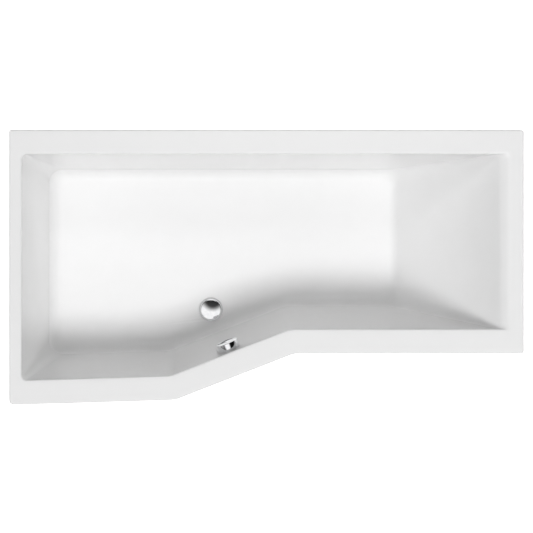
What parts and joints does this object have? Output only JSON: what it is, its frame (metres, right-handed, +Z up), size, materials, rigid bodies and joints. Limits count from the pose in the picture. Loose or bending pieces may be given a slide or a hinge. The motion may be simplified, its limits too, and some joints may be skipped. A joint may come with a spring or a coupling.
{
  "type": "asymmetric bathtub",
  "caption": "Asymmetric white acrylic shower bath with a wide foot end, diagonal front bend, sloping backrest, pop-up drain worked by a rotary overflow knob, and adjustable feet.",
  "frame": {"origin": "centre of the bath's bounding box, on the floor under the feet", "axes": "+X towards the backrest end, +Y towards the wall side, +Z up"},
  "size_m": [1.6, 0.8545, 0.59],
  "materials": {
    "acrylic": "high-gloss white sanitary acrylic",
    "laminate": "rough sprayed glass-fibre laminate",
    "chipboard": "raw chipboard",
    "timber": "planed softwood",
    "zinc_steel": "zinc-plated steel",
    "chrome": "polished chrome",
    "white_plastic": "moulded polypropylene",
    "black_plastic": "moulded plastic",
    "rubber": "moulded rubber",
    "brass": "turned brass",
    "cable_sheath": "smooth plastic sheath"
  },
  "bodies": {
    "bath": {"tub_shell": "acrylic", "reinforcement": "laminate", "base_board": "chipboard", "rim_batten_back": "timber", "rim_batten_narrow": "timber", "rim_batten_diagonal": "timber", "rim_batten_wide": "timber", "leg_rail_foot": "zinc_steel", "leg_rail_head": "zinc_steel", "rail_screws": "zinc_steel", "leg_nuts": "zinc_steel", "waste_flange": "chrome", "waste_seal_top": "rubber", "waste_seal_low": "rubber", "waste_body": "white_plastic", "trap_bowl": "white_plastic", "outlet_pipe": "white_plastic", "outlet_nut": "white_plastic", "lever_pin": "zinc_steel", "overflow_face": "chrome", "overflow_gasket": "rubber", "overflow_head": "white_plastic", "overflow_screws": "zinc_steel", "overflow_hose": "white_plastic", "hose_nut_top": "white_plastic", "hose_nut_low": "white_plastic", "control_cable": "cable_sheath", "cable_clips": "white_plastic"},
    "knob": {"overflow_knob": "chrome", "spindle": "brass"},
    "plug": {"plug_cap": "chrome", "plug_seal": "rubber", "plug_stem": "brass"},
    "lever": {"lift_lever": "black_plastic"},
    "foot_1": {"foot_stud_1": "zinc_steel", "foot_pad_1": "black_plastic"},
    "foot_2": {"foot_stud_2": "zinc_steel", "foot_pad_2": "black_plastic"},
    "foot_3": {"foot_stud_3": "zinc_steel", "foot_pad_3": "black_plastic"},
    "foot_4": {"foot_stud_4": "zinc_steel", "foot_pad_4": "black_plastic"}
  },
  "joints": [
    {"name": "knob_turn", "type": "hinge", "parent": "bath", "child": "knob", "pos_m": [-0.11566, -0.25523, 0.532], "axis": [0.3577, -0.9191, -0.165], "range_deg": [0, 90]},
    {"name": "plug_lift", "type": "slide", "parent": "bath", "child": "plug", "axis": [0, 0, 1], "range_m": [0, 0.01]},
    {"name": "lever_swing", "type": "hinge", "parent": "bath", "child": "lever", "pos_m": [-0.18536, -0.12578, 0.124], "axis": [-0.9319, -0.3627, 0], "range_deg": [0, 49.2]},
    {"name": "foot_1_height", "type": "slide", "parent": "bath", "child": "foot_1", "axis": [0, 0, -1], "range_m": [-0.02, 0.03]},
    {"name": "foot_2_height", "type": "slide", "parent": "bath", "child": "foot_2", "axis": [0, 0, -1], "range_m": [-0.02, 0.03]},
    {"name": "foot_3_height", "type": "slide", "parent": "bath", "child": "foot_3", "axis": [0, 0, -1], "range_m": [-0.02, 0.03]},
    {"name": "foot_4_height", "type": "slide", "parent": "bath", "child": "foot_4", "axis": [0, 0, -1], "range_m": [-0.02, 0.03]}
  ],
  "couplings": [
    {"joint": "plug_lift", "follows": "knob_turn", "m_per_rad": 0.0063662},
    {"joint": "lever_swing", "follows": "knob_turn", "ratio": 0.54667}
  ]
}
